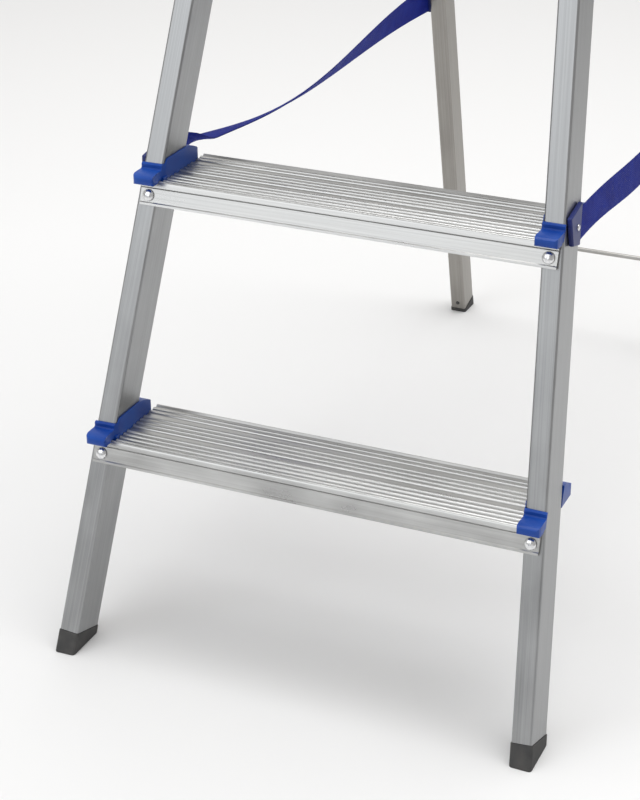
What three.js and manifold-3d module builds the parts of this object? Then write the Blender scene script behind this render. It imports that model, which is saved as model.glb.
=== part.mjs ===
// Five-step folding aluminium step ladder: four ribbed treads, a lifting platform and a handrail hoop.
// Millimetres, +Z up. The user stands at -Y facing +Y; +X is the user's right.
// Everything is laid out from the floor point midway between the front corners of the two front stiles,
// and the finished group is then moved so that its origin is the centre of the footprint.

import * as THREE from "three";
import { mergeVertices } from "three/addons/utils/BufferGeometryUtils.js";
import Module from "manifold-3d";

// ---- Driving dimensions -------------------------------------------------------------------------

const GAP = 0.3; // clearance kept between two pieces that touch

// Front frame
const FRONT_WIDTH = 446; // over the outer faces of the front stiles, at the floor
const FRONT_TAPER = 0.085; // inward run of each stile per unit of height
const FRONT_SLOPE = Math.tan(THREE.MathUtils.degToRad(17.6)); // backward run per unit of height
const STILE = { width: 18, depth: 40, wall: 1.6, corner: 2 };
const STILE_TOP = 1136; // height of the cut upper end
const FRONT_FOOT_LENGTH = 22; // rubber showing below the tube, along its axis

// Treads
const TREAD_COUNT = 4;
const FIRST_TREAD = 192.5; // height of the lowest tread's standing surface
const RISE = 218.5;
const TREAD_DEPTH = 83;
const TREAD_END_INSET = 2.5; // each end of a tread, in from the stiles' outer faces
const FLANGE = { drop: 20.5, thickness: 2.6 }; // front flange, below the standing surface
const NOSING = { height: 5, proud: 1.8, round: 1.8 }; // thicker top edge of the front flange
const GROOVE = { height: 1.2, depth: 0.7 }; // under the nosing
const HEM = { height: 1.8, proud: 0.7 }; // thicker bottom edge of the front flange
const SKIN = 2; // wall of the tread and deck extrusions
const RIB = { height: 1.6, pitch: 6.6, width: 4.8, shoulder: 0.3 };
const FIRST_RIB = 6.5; // crest of the first rib, behind the front edge
const TREAD_RIBS = [4, 4, 2]; // ribs in each group, from the front
const DECK_RIBS = [4, 4, 4, 4, 4, 4, 4, 4];
const CHANNEL = 4.4; // extra room between two groups of ribs
const EDGE = { width: 3.6, crest: 2.2 }; // plain bead along the edges of a ribbed surface
const TREAD_RIVET = { drop: 12.5, inset: 11, head: 5.2, headHeight: 2.9, shank: 2.4, grip: 3 };

// Plastic collars at the tread ends, wrapped round the front, inner and rear faces of the stiles
const COLLAR = {
  height: 16.5, // above the standing surface
  ledge: 13, // height of the part in front of the stile
  bottom: -1,
  wallBottom: -2.2,
  nose: 18, // reach in front of the stile
  noseTop: 8.2,
  noseWidth: 19.5,
  wall: 2.4,
  tail: 27, // reach behind the stile
  skirt: 7, // depth of the wall inside the tread
};

// Rear frame
const REAR_WIDTH = 335; // over the outer faces of the rear legs, at the floor
const REAR_TAPER = 0.0073;
const REAR_SLOPE = Math.tan(THREE.MathUtils.degToRad(15.05));
const REAR_FOOT_Y = 868.4; // front corner of a rear leg at the floor
const LEG = { width: 18, depth: 30, wall: 1.5, corner: 2 };
const REAR_FOOT_LENGTH = 4.5;
const NUB = { radius: 2.2, height: 12.7, proud: 0.6 }; // knob that locks a rear foot in its leg
const BRACE_HEIGHTS = [112, 620];
const BRACE_RADIUS = 2.5;

// Hinge and platform
const HINGE_Z = 1045;
const BAR = { radius: 9, wall: 1.5 };
const BRACKET = { thickness: 3, radius: 20, low: 1002, high: 1080 };
const LEG_HEAD = 24; // leg above the hinge axis
const PLATFORM_TOP = 1071;
const PLATFORM_WIDTH = 204;
const PLATFORM_OVERHANG = 12; // platform behind the hinge axis
const RAIL = { width: 12, height: 26 };
const PIN = { radius: 4, collar: 7 };
const PIN_Z = 1057;

// Handrail hoop
const HOOP_START = STILE_TOP + 4; // lower end of the hoop's legs
const HOOP = { radius: 10, top: 1668, bend: 75, collarHeight: 72, sleeve: 30 };

// Straps
const STRAP = { width: 30, thickness: 2, sag: 22.5, gap: 1.5, standoff: 3.2 };
const STRAP_FRONT_Z = 415.5;
const STRAP_REAR_Z = 418;
const PLATE = { thickness: 4.2, narrow: 24, wide: 33, end: 2, slant: 10, rivet: 10 };
const FRONT_PLATE_INSET = 11; // from the edge of the upright that the strap leaves
const REAR_PLATE_INSET = 3;

const SIDES = [
  { name: "left", sign: -1 },
  { name: "right", sign: 1 },
];

// ---- Materials ----------------------------------------------------------------------------------

const finish = (color, roughness, metalness) => () =>
  new THREE.MeshStandardMaterial({ color, roughness, metalness });
const aluminium = finish(0xb9b8b4, 0.38, 0.9);
const ribbedAluminium = finish(0xc4c3bf, 0.42, 0.9);
const zinc = finish(0xc8c9cb, 0.25, 0.95);
const steelRod = finish(0xa3a29e, 0.4, 0.8);
const bluePlastic = finish(0x1c47a5, 0.42, 0);
const webbing = finish(0x23379a, 0.85, 0);
const rubber = finish(0x3b3b3d, 0.85, 0);

// ---- Solids -------------------------------------------------------------------------------------

const wasm = await Module();
wasm.setup();

function toSolid(geometry) {
  const bare = geometry.clone();
  bare.deleteAttribute("normal");
  bare.deleteAttribute("uv");
  const merged = mergeVertices(bare, 1e-4);
  const vertProperties = new Float32Array(merged.attributes.position.array);
  const triVerts = new Uint32Array(merged.index.array);
  return new wasm.Manifold(new wasm.Mesh({ numProp: 3, vertProperties, triVerts }));
}

function toGeometry(solid) {
  const result = solid.getMesh();
  const geometry = new THREE.BufferGeometry();
  geometry.setAttribute("position", new THREE.BufferAttribute(result.vertProperties, 3));
  geometry.setIndex(new THREE.BufferAttribute(result.triVerts, 1));
  return geometry;
}

// Cuts every tool out of a blank.
function cut(blank, ...tools) {
  return toGeometry(tools.reduce((solid, tool) => solid.subtract(toSolid(tool)), toSolid(blank)));
}

function join(...pieces) {
  return toGeometry(pieces.map(toSolid).reduce((solid, piece) => solid.add(piece)));
}

function piece(name, geometry, material, parent) {
  const mesh = new THREE.Mesh(geometry, material());
  mesh.name = name;
  parent.add(mesh);
  return mesh;
}

// A box given by its two opposite corners.
function block(x0, y0, z0, x1, y1, z1) {
  const box = new THREE.BoxGeometry(Math.abs(x1 - x0), Math.abs(y1 - y0), Math.abs(z1 - z0));
  return box.translate((x0 + x1) / 2, (y0 + y1) / 2, (z0 + z1) / 2);
}

function roundedRect(x0, y0, x1, y1, radius, path = new THREE.Shape()) {
  path.moveTo(x0 + radius, y0);
  path.lineTo(x1 - radius, y0);
  path.absarc(x1 - radius, y0 + radius, radius, -Math.PI / 2, 0);
  path.lineTo(x1, y1 - radius);
  path.absarc(x1 - radius, y1 - radius, radius, 0, Math.PI / 2);
  path.lineTo(x0 + radius, y1);
  path.absarc(x0 + radius, y1 - radius, radius, Math.PI / 2, Math.PI);
  path.lineTo(x0, y0 + radius);
  path.absarc(x0 + radius, y0 + radius, radius, Math.PI, 1.5 * Math.PI);
  return path;
}

function extrude(shape, depth, curveSegments = 2) {
  return new THREE.ExtrudeGeometry(shape, { depth, bevelEnabled: false, curveSegments, steps: 1 });
}

// A profile drawn in the Y-Z plane and extruded along X from x0 to x1.
function extrudeAlongX(shape, x0, x1, curveSegments = 2) {
  const geometry = extrude(shape, x1 - x0, curveSegments);
  const profileToSide = new THREE.Matrix4().set(0, 0, 1, x0, 1, 0, 0, 0, 0, 1, 0, 0, 0, 0, 0, 1);
  return geometry.applyMatrix4(profileToSide);
}

function cylinderAlongX(radius, x0, x1, y, z, sides = 12) {
  const geometry = new THREE.CylinderGeometry(radius, radius, Math.abs(x1 - x0), sides);
  return geometry.rotateZ(-Math.PI / 2).translate((x0 + x1) / 2, y, z);
}

// A solid of revolution about Y from [radius, height] pairs that start and end on the axis.
function turned(profile, sides) {
  return new THREE.LatheGeometry(profile.map(([r, y]) => new THREE.Vector2(r, y)), sides);
}

// A round-headed rivet on the Y = 0 face, its head towards -Y and its shank, if any, towards +Y.
function rivet(headRadius, headHeight, shankRadius = 0, shankLength = 0) {
  const profile = [[0, 0]];
  const rings = 3;
  for (let i = 1; i <= rings; i += 1) {
    const angle = (i / rings) * (Math.PI / 2);
    profile.push([headRadius * Math.sin(angle), headHeight * (1 - Math.cos(angle))]);
  }
  const underside = headHeight + GAP / 2;
  profile.push([headRadius, underside]);
  if (shankLength > 0) {
    const end = headHeight + GAP + shankLength;
    profile.push([shankRadius, underside], [shankRadius, end], [0, end]);
  } else {
    profile.push([0, underside]);
  }
  return turned(profile, 12).translate(0, -headHeight - GAP, 0);
}

// ---- Frames of the four uprights ----------------------------------------------------------------
// "plumb" lies in the upright's outer face with its Z axis straight up that face. "along" is inside
// it, with Z along the tube. In both, X = 0 is the outer face and the tube lies towards the middle.

function upright(side, width, footY, taper, slope) {
  const plumb = new THREE.Group();
  plumb.position.set((side.sign * width) / 2, footY, 0);
  plumb.rotation.y = -side.sign * Math.atan(taper);
  const along = new THREE.Group();
  along.rotation.x = -Math.atan(slope / Math.hypot(1, taper));
  plumb.add(along);
  plumb.updateMatrixWorld(true);
  return { side, plumb, along, taper, slope, footY, width };
}

// Distance up the outer face, and along the tube, of a point at a given height.
const upFace = (frame, height) => height * Math.hypot(1, frame.taper);
const upTube = (frame, height) => height * Math.hypot(1, frame.taper, frame.slope);
const outerX = (frame, height) => frame.width / 2 - height * frame.taper;
const frontY = (frame, height) => frame.footY + height * frame.slope;
const depthAcross = (frame, section) => section.depth / Math.cos(frame.along.rotation.x);

// Brings a geometry drawn in the ladder's own frame into a group's frame.
function seenFrom(group, geometry) {
  return geometry.applyMatrix4(group.matrixWorld.clone().invert());
}

const inward = (frame, from, to) => [-frame.side.sign * from, -frame.side.sign * to];

function tubeShape(frame, section) {
  const [x0, x1] = inward(frame, 0, section.width).sort((a, b) => a - b);
  const shape = roundedRect(x0, 0, x1, section.depth, section.corner);
  const { wall, corner, depth } = section;
  const bore = roundedRect(x0 + wall, wall, x1 - wall, depth - wall, corner / 2, new THREE.Path());
  shape.holes.push(bore);
  return shape;
}

// The space a tube takes up between two heights, with a clearance all round.
function tubeEnvelope(frame, section, low, high, clearance) {
  const outside = 40;
  const [xOut, xIn] = inward(frame, -outside, section.width + clearance);
  const z0 = upTube(frame, low);
  const z1 = upTube(frame, high);
  const space = block(xOut, -clearance, z0, xIn, section.depth + clearance, z1);
  return space.applyMatrix4(frame.along.matrixWorld);
}

// ---- Front frame --------------------------------------------------------------------------------

const treadHeight = (index) => FIRST_TREAD + index * RISE;

// Places a geometry made for the Y = 0 face onto a stile's front, at a tread's rivet.
function atTreadRivet(frame, index, geometry) {
  const [x] = inward(frame, TREAD_RIVET.inset, 0);
  const z = upTube(frame, treadHeight(index) - TREAD_RIVET.drop);
  return geometry.translate(x, -FLANGE.thickness - 2 * GAP, z);
}

const treadRivetHole = () => {
  const radius = TREAD_RIVET.shank + GAP + 0.1;
  return new THREE.CylinderGeometry(radius, radius, 4 * TREAD_RIVET.grip, 8);
};

function frontStile(frame) {
  const start = FRONT_FOOT_LENGTH + GAP;
  const tube = extrude(tubeShape(frame, STILE), upTube(frame, STILE_TOP) - start);
  tube.translate(0, 0, start);
  const rivetHoles = [];
  for (let index = 0; index < TREAD_COUNT; index += 1) {
    rivetHoles.push(atTreadRivet(frame, index, treadRivetHole()));
  }
  const sign = frame.side.sign;
  const innerFace = outerX(frame, PIN_Z) - STILE.width;
  const pinEnds = [innerFace - 10, innerFace + STILE.width / 2].map((x) => sign * x);
  const pinHole = cylinderAlongX(PIN.radius + GAP + 0.1, ...pinEnds, pinY, PIN_Z);
  const geometry = cut(tube, ...rivetHoles, seenFrom(frame.along, pinHole));
  piece(`front_stile_${frame.side.name}`, geometry, aluminium, frame.along);
}

// Rubber foot: a wedge under the tube, flat on the floor, with a plug up inside the tube.
function frontFoot(frame) {
  const proud = 0.8;
  const plugHeight = 28;
  const inset = STILE.wall + GAP + 0.2;
  const [x0, x1] = inward(frame, -proud, STILE.width + proud).sort((a, b) => a - b);
  const [px0, px1] = inward(frame, inset, STILE.width - inset).sort((a, b) => a - b);
  const shoeShape = roundedRect(x0, -proud, x1, STILE.depth + proud, STILE.corner + proud);
  const below = -40;
  const shoe = extrude(shoeShape, FRONT_FOOT_LENGTH - below).translate(0, 0, below);
  const plug = block(px0, inset, 0, px1, STILE.depth - inset, FRONT_FOOT_LENGTH + plugHeight);
  const underFloor = seenFrom(frame.along, block(-400, -200, -200, 400, 400, 0));
  const geometry = cut(join(shoe, plug), underFloor);
  piece(`front_foot_${frame.side.name}`, geometry, rubber, frame.along);
}

// The rounded ribs of a standing surface, from front to back, in groups with channels between them.
function ribOutline(path, firstCrest, groups) {
  const half = RIB.width / 2;
  let crest = firstCrest;
  for (const ribs of groups) {
    for (let rib = 0; rib < ribs; rib += 1) {
      path.lineTo(crest - half, -RIB.height);
      path.quadraticCurveTo(crest - half + RIB.shoulder, 0, crest, 0);
      path.quadraticCurveTo(crest + half - RIB.shoulder, 0, crest + half, -RIB.height);
      crest += RIB.pitch;
    }
    crest += CHANNEL;
  }
}

// Y of the plane behind a tread's front flange, which lies against the stiles, and of its front.
const flangeBack = (z) => z * FRONT_SLOPE - GAP;
const flangeFront = (z, proud = 0) => flangeBack(z) - FLANGE.thickness - proud;

// Section of a tread in Y-Z, with Y from the stiles' front face and Z from the standing surface.
// Ribbed top, square nosing, a front flange with a hem, and a shorter rear flange turned inwards.
function treadProfile() {
  const front = flangeFront(0, NOSING.proud);
  const rear = front + TREAD_DEPTH;
  const rearDrop = 18;
  const rearHem = 6;
  const underside = -RIB.height - SKIN;
  const hemTop = -FLANGE.drop + HEM.height;
  const grooveLow = -NOSING.height - GROOVE.height;
  const path = new THREE.Shape();
  path.moveTo(flangeFront(-NOSING.round, NOSING.proud), -NOSING.round);
  path.quadraticCurveTo(front, 0, front + NOSING.round, 0);
  path.lineTo(front + EDGE.crest, 0);
  path.lineTo(front + EDGE.width, -RIB.height);
  ribOutline(path, front + FIRST_RIB, TREAD_RIBS);
  path.lineTo(rear - EDGE.width, -RIB.height);
  path.lineTo(rear - EDGE.crest, 0);
  path.quadraticCurveTo(rear, 0, rear, -NOSING.round);
  path.lineTo(rear, -rearDrop);
  path.lineTo(rear - rearHem, -rearDrop);
  path.lineTo(rear - rearHem, -rearDrop + SKIN);
  path.lineTo(rear - SKIN, -rearDrop + SKIN);
  path.lineTo(rear - SKIN, underside);
  path.lineTo(flangeBack(underside), underside);
  path.lineTo(flangeBack(-FLANGE.drop), -FLANGE.drop);
  path.lineTo(flangeFront(-FLANGE.drop, HEM.proud), -FLANGE.drop);
  path.lineTo(flangeFront(hemTop, HEM.proud), hemTop);
  path.lineTo(flangeFront(hemTop + HEM.proud), hemTop + HEM.proud);
  path.lineTo(flangeFront(grooveLow - GROOVE.depth), grooveLow - GROOVE.depth);
  path.lineTo(flangeFront(grooveLow, -GROOVE.depth), grooveLow);
  path.lineTo(flangeFront(-NOSING.height, -GROOVE.depth), -NOSING.height);
  path.lineTo(flangeFront(-NOSING.height, NOSING.proud), -NOSING.height);
  return path;
}

// The room behind the front flange, at one end of a tread, that the stile and its collar take up.
function treadNotch(frame, height) {
  const reach = 30;
  const behindFlange = (z) => flangeBack(z) - 0.05;
  const shape = new THREE.Shape();
  shape.moveTo(behindFlange(-reach), -reach);
  shape.lineTo(2 * TREAD_DEPTH, -reach);
  shape.lineTo(2 * TREAD_DEPTH, reach);
  shape.lineTo(behindFlange(reach), reach);
  const [outside, inside] = inward(frame, -reach, STILE.width + COLLAR.wall + 2 * GAP);
  const [x0, x1] = [outside, inside].sort((a, b) => a - b);
  return atStileCorner(frame, height, extrudeAlongX(shape, x0, x1));
}

// Moves a geometry from the ladder's axes at the origin to the stile's outer front corner at a height.
function atStileCorner(frame, height, geometry) {
  return geometry.translate(frame.side.sign * outerX(frame, height), frontY(frame, height), height);
}

function tread(index, frames, parent) {
  const height = treadHeight(index);
  const halfLength = outerX(frames[0], height) - TREAD_END_INSET;
  const bar = extrudeAlongX(treadProfile(), -halfLength, halfLength, 3);
  bar.translate(0, frontY(frames[0], height), height);
  const tools = frames.flatMap((frame) => [
    treadNotch(frame, height),
    atTreadRivet(frame, index, treadRivetHole()).applyMatrix4(frame.along.matrixWorld),
  ]);
  piece(`tread_${index + 1}`, cut(bar, ...tools), ribbedAluminium, parent);
}

function treadRivet(frame, index) {
  const { head, headHeight, shank, grip } = TREAD_RIVET;
  const solid = rivet(head, headHeight, shank, FLANGE.thickness + STILE.wall + grip);
  const geometry = atTreadRivet(frame, index, solid);
  piece(`tread_rivet_${index + 1}_${frame.side.name}`, geometry, zinc, frame.along);
}

// Side view of a collar: a bulbous nose over the tread's front edge, a low ledge in front of the
// stile, the higher part beside it, then a tail that slopes down behind it. Y from the stiles' front
// face, Z from the standing surface.
function collarSideShape(frame) {
  const back = depthAcross(frame, STILE);
  const { height, ledge, bottom, wallBottom, nose, noseTop, tail } = COLLAR;
  const clearOfTread = (z) => flangeFront(z, NOSING.proud) - GAP;
  const end = back + tail;
  const step = 1; // front of the ledge
  const round = 1;
  const bulge = (noseTop + bottom) / 2; // height of the nose's foremost line
  const shape = new THREE.Shape();
  shape.moveTo(-nose + 4, bottom);
  shape.lineTo(clearOfTread(bottom), bottom);
  shape.lineTo(clearOfTread(GAP), GAP);
  shape.lineTo(GAP, GAP);
  shape.lineTo(GAP, wallBottom);
  shape.lineTo(end - round, wallBottom);
  shape.lineTo(end, wallBottom + round);
  shape.lineTo(end, height / 2 - round);
  shape.quadraticCurveTo(end - tail / 3, height - 2.5, back + 2, height);
  shape.lineTo(ledge, height);
  shape.quadraticCurveTo(ledge / 2 + 1, height, ledge / 2, ledge);
  shape.lineTo(step + round, ledge);
  shape.lineTo(step, ledge - round);
  shape.lineTo(step, noseTop + round);
  shape.lineTo(step - round, noseTop);
  shape.lineTo(-nose / 2, noseTop);
  shape.quadraticCurveTo(-nose, noseTop, -nose, bulge);
  shape.quadraticCurveTo(-nose, bottom, -nose + 4, bottom);
  return shape;
}

// Plan of a collar: inset from the stile's outer face against Y. It has a slight waist behind the
// nose, runs back as a thin wall along the stile's inner face, and closes behind the stile.
function collarPlanShape(frame) {
  const end = depthAcross(frame, STILE) + COLLAR.tail;
  const { nose, noseWidth, wall } = COLLAR;
  const innerWall = STILE.width + GAP + wall;
  const waist = noseWidth - 0.6;
  const outerRound = 6;
  const innerRound = 2.5;
  const tailRound = 5;
  const across = (inset) => -frame.side.sign * inset;
  const shape = new THREE.Shape();
  shape.moveTo(across(outerRound), -nose);
  shape.lineTo(across(noseWidth - innerRound), -nose);
  shape.quadraticCurveTo(across(noseWidth), -nose, across(noseWidth), -nose + innerRound);
  shape.lineTo(across(waist), -nose / 3);
  shape.quadraticCurveTo(across(waist), nose / 6, across(innerWall), nose / 2);
  shape.lineTo(across(innerWall), end - tailRound);
  shape.quadraticCurveTo(across(innerWall), end, across(innerWall - tailRound), end);
  shape.lineTo(across(innerRound), end);
  shape.quadraticCurveTo(0, end, 0, end - innerRound);
  shape.lineTo(0, -nose + outerRound);
  shape.quadraticCurveTo(0, -nose, across(outerRound), -nose);
  return shape;
}

function treadCollar(frame, index, parent) {
  const height = treadHeight(index);
  const reach = 30;
  const plan = extrude(collarPlanShape(frame), 2 * reach, 3).translate(0, 0, -reach);
  const side = extrudeAlongX(collarSideShape(frame), -reach, reach, 4);
  const [x0, x1] = inward(frame, STILE.width, STILE.width + GAP + COLLAR.wall);
  const skirtEnd = depthAcross(frame, STILE) + COLLAR.tail / 2;
  const skirt = block(x0, 1, -COLLAR.skirt, x1, skirtEnd, 2);
  const body = toSolid(plan).intersect(toSolid(side)).add(toSolid(skirt));
  const placed = toSolid(atStileCorner(frame, height, toGeometry(body)));
  const stileSpace = tubeEnvelope(frame, STILE, height - 2 * reach, height + 2 * reach, GAP);
  const geometry = toGeometry(placed.subtract(toSolid(stileSpace)));
  piece(`tread_cap_${index + 1}_${frame.side.name}`, geometry, bluePlastic, parent);
}

// ---- Handrail -----------------------------------------------------------------------------------

const hoopHalf = (frame) => outerX(frame, STILE_TOP) - STILE.width / 2;

// The hoop lies in the plane of the stiles' centre lines and its two legs are parallel.
function handrailHoop(frames, parent) {
  const half = hoopHalf(frames[0]);
  const lean = new THREE.Group();
  lean.position.y = depthAcross(frames[0], STILE) / 2;
  lean.rotation.x = -Math.atan(FRONT_SLOPE);
  const stretch = Math.hypot(1, FRONT_SLOPE);
  const bottom = HOOP_START * stretch;
  const top = (HOOP.top - HOOP.radius) * stretch;
  const at = (x, z) => new THREE.Vector3(x, 0, z);
  const line = (from, to) => new THREE.LineCurve3(from, to);
  const bend = (from, corner, to) => new THREE.QuadraticBezierCurve3(from, corner, to);
  const sideTop = top - HOOP.bend;
  const flatEnd = half - HOOP.bend;
  const route = new THREE.CurvePath();
  route.add(line(at(-half, bottom), at(-half, sideTop)));
  route.add(bend(at(-half, sideTop), at(-half, top), at(-flatEnd, top)));
  route.add(line(at(-flatEnd, top), at(flatEnd, top)));
  route.add(bend(at(flatEnd, top), at(half, top), at(half, sideTop)));
  route.add(line(at(half, sideTop), at(half, bottom)));
  const section = new THREE.Shape().absarc(0, 0, HOOP.radius, 0, 2 * Math.PI);
  const options = { extrudePath: route, steps: 60, curveSegments: 5, bevelEnabled: false };
  piece("handrail_hoop", new THREE.ExtrudeGeometry(section, options), aluminium, lean);
  parent.add(lean);
}

// Plastic socket that closes the top of a stile and holds one leg of the hoop.
function handrailSocket(frame) {
  const proud = 2.6;
  const base = upTube(frame, STILE_TOP) - HOOP.sleeve;
  const [x0, x1] = inward(frame, -proud, STILE.width + proud).sort((a, b) => a - b);
  const outline = roundedRect(x0, -proud, x1, STILE.depth + proud, 5);
  const body = extrude(outline, HOOP.collarHeight).translate(0, 0, base);
  const room = tubeRoom(frame, base - 1, HOOP.sleeve + 1 + GAP);
  const boreRadius = HOOP.radius + 0.8;
  const boreLength = 2 * HOOP.collarHeight;
  const bore = new THREE.CylinderGeometry(boreRadius, boreRadius, boreLength, 16);
  bore.rotateX(Math.PI / 2).translate(0, 0, boreLength / 2).rotateX(-Math.atan(FRONT_SLOPE));
  const start = HOOP_START - GAP;
  const middle = frontY(frame, start) + depthAcross(frame, STILE) / 2;
  bore.translate(frame.side.sign * hoopHalf(frame), middle, start);
  const geometry = cut(body, room, seenFrom(frame.along, bore));
  piece(`handrail_socket_${frame.side.name}`, geometry, bluePlastic, frame.along);
}

// The room a stile needs inside a sleeve.
function tubeRoom(frame, from, length) {
  const [x0, x1] = inward(frame, -GAP, STILE.width + GAP).sort((a, b) => a - b);
  return block(x0, -GAP, from, x1, STILE.depth + GAP, from + length);
}

// ---- Hinge --------------------------------------------------------------------------------------

// Side plate riveted to a stile's outer face. It carries the hinge bar behind the stile.
function hingeBracket(frame) {
  const { thickness, radius, low, high } = BRACKET;
  const sign = frame.side.sign;
  const margin = 2;
  const front = (z) => frontY(frame, z) + margin;
  const back = (z) => frontY(frame, z) + depthAcross(frame, STILE) - margin;
  const up = (z) => upFace(frame, z);
  const shape = new THREE.Shape();
  shape.moveTo(front(low), up(low));
  shape.lineTo(back(low), up(low));
  shape.absarc(hingeY, up(HINGE_Z), radius, -Math.PI / 2, Math.PI / 2);
  shape.lineTo(back(high), up(high));
  shape.lineTo(front(high), up(high));
  const [x0, x1] = [sign * GAP, sign * (GAP + thickness)].sort((a, b) => a - b);
  const plate = extrudeAlongX(shape, x0, x1, 4);
  const heads = [low + 16, high - 16].map((z) => {
    const head = new THREE.SphereGeometry(6, 10, 5).scale(0.4, 1, 1);
    return head.translate(sign * (GAP + thickness), (front(z) + back(z)) / 2, up(z));
  });
  const legFace = outerX(rears[0], HINGE_Z) - LEG.width - 2 * GAP;
  const bossStart = outerX(frame, HINGE_Z) + 2 * GAP;
  const boss = cylinderAlongX(15, sign * bossStart, sign * legFace, hingeY, HINGE_Z, 16);
  const barHole = cylinderAlongX(BAR.radius + GAP + 0.1, sign * 100, sign * 200, hingeY, HINGE_Z, 16);
  const body = join(plate, ...heads, seenFrom(frame.plumb, boss));
  const geometry = cut(body, seenFrom(frame.plumb, barHole));
  piece(`hinge_bracket_${frame.side.name}`, geometry, aluminium, frame.plumb);
}

const barHalfLength = () => outerX(rears[0], HINGE_Z) + 1.5;

// The tube that the rear legs turn on. It also carries the back of the platform.
function hingeBar(parent) {
  const shape = new THREE.Shape().absarc(0, 0, BAR.radius, 0, 2 * Math.PI);
  shape.holes.push(new THREE.Path().absarc(0, 0, BAR.radius - BAR.wall, 0, 2 * Math.PI));
  const half = barHalfLength();
  const mesh = piece("hinge_bar", extrudeAlongX(shape, -half, half, 8), aluminium, parent);
  mesh.position.set(0, hingeY, HINGE_Z);
}

// Plastic end plug that keeps a rear leg on the bar.
function hingeCap(side, parent) {
  const plug = BAR.radius - BAR.wall - GAP;
  const flange = 13;
  const profile = [
    [0, -14],
    [plug, -14],
    [plug, GAP],
    [flange, GAP],
    [flange, 2.2],
    [flange - 3, 4.4],
    [flange - 8, 5.4],
    [0, 5.8],
  ];
  const geometry = turned(profile, 16).rotateZ((-side.sign * Math.PI) / 2);
  const mesh = piece(`hinge_cap_${side.name}`, geometry, bluePlastic, parent);
  mesh.position.set(side.sign * barHalfLength(), hingeY, HINGE_Z);
}

// ---- Platform -----------------------------------------------------------------------------------

// Ribbed deck between the two side rails, with a turned-down edge in front and behind.
function platformDeck(parent) {
  const ribs = DECK_RIBS.reduce((sum, count) => sum + count);
  const betweenCrests = (ribs - 1) * RIB.pitch + (DECK_RIBS.length - 1) * CHANNEL;
  const length = platformRear - platformFront - 2 * RAIL_NOSE;
  const drop = 15;
  const underside = -RIB.height - SKIN;
  const path = new THREE.Shape();
  path.moveTo(0, -NOSING.round);
  path.quadraticCurveTo(0, 0, NOSING.round, 0);
  path.lineTo(EDGE.crest, 0);
  path.lineTo(EDGE.width, -RIB.height);
  ribOutline(path, (length - betweenCrests) / 2, DECK_RIBS);
  path.lineTo(length - EDGE.width, -RIB.height);
  path.lineTo(length - EDGE.crest, 0);
  path.quadraticCurveTo(length, 0, length, -NOSING.round);
  path.lineTo(length, -drop);
  path.lineTo(length - SKIN, -drop);
  path.lineTo(length - SKIN, underside);
  path.lineTo(SKIN, underside);
  path.lineTo(SKIN, -drop);
  path.lineTo(0, -drop);
  const half = PLATFORM_WIDTH / 2 - RAIL.width - GAP;
  const mesh = piece("platform_deck", extrudeAlongX(path, -half, half), ribbedAluminium, parent);
  mesh.position.set(0, platformFront + RAIL_NOSE, PLATFORM_TOP);
}

// Plastic side rail: turns on the pivot pin in front and hooks over the hinge bar behind.
function platformRail(side, parent) {
  const low = PLATFORM_TOP - RAIL.height;
  const high = PLATFORM_TOP;
  const hook = BAR.radius + 0.8; // leaves room for the bar's flat facets
  const shape = new THREE.Shape();
  shape.moveTo(platformFront + 6, low + 2);
  shape.lineTo(hingeY - 40, low + 2);
  shape.lineTo(hingeY - 22, HINGE_Z - 6);
  shape.lineTo(hingeY - hook, HINGE_Z - 6);
  shape.lineTo(hingeY - hook, HINGE_Z);
  shape.absarc(hingeY, HINGE_Z, hook, Math.PI, 0, true);
  shape.lineTo(platformRear, HINGE_Z);
  shape.lineTo(platformRear, high - 8);
  shape.absarc(platformRear - 8, high - 8, 8, 0, Math.PI / 2);
  shape.lineTo(platformFront + 10, high);
  shape.absarc(platformFront + 10, high - 10, 10, Math.PI / 2, Math.PI);
  shape.lineTo(platformFront, low + 8);
  const outer = PLATFORM_WIDTH / 2;
  const [x0, x1] = [side.sign * (outer - RAIL.width), side.sign * outer].sort((a, b) => a - b);
  const rail = extrudeAlongX(shape, x0, x1, 3);
  const socket = cylinderAlongX(
    PIN.radius + GAP,
    side.sign * (outer - RAIL.width + 2),
    side.sign * (outer + 5),
    pinY,
    PIN_Z,
  );
  piece(`platform_rail_${side.name}`, cut(rail, socket), bluePlastic, parent);
}

// Pivot pin between a rail and a stile, with a collar that keeps the rail off the stile.
function platformPin(side, parent) {
  const start = PLATFORM_WIDTH / 2 - RAIL.width + 2 + GAP;
  const collarStart = PLATFORM_WIDTH / 2 + GAP;
  const collarEnd = outerX(fronts[0], PIN_Z) - STILE.width - 1.2;
  const end = collarEnd + 7;
  const profile = [
    [0, start],
    [PIN.radius, start],
    [PIN.radius, collarStart],
    [PIN.collar, collarStart],
    [PIN.collar, collarEnd],
    [PIN.radius, collarEnd],
    [PIN.radius, end],
    [0, end],
  ];
  const geometry = turned(profile, 12).rotateZ((-side.sign * Math.PI) / 2);
  const mesh = piece(`platform_pin_${side.name}`, geometry, zinc, parent);
  mesh.position.set(0, pinY, PIN_Z);
}

// ---- Rear frame ---------------------------------------------------------------------------------

const legMiddleY = (frame, height) => frontY(frame, height) + depthAcross(frame, LEG) / 2;

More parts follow.
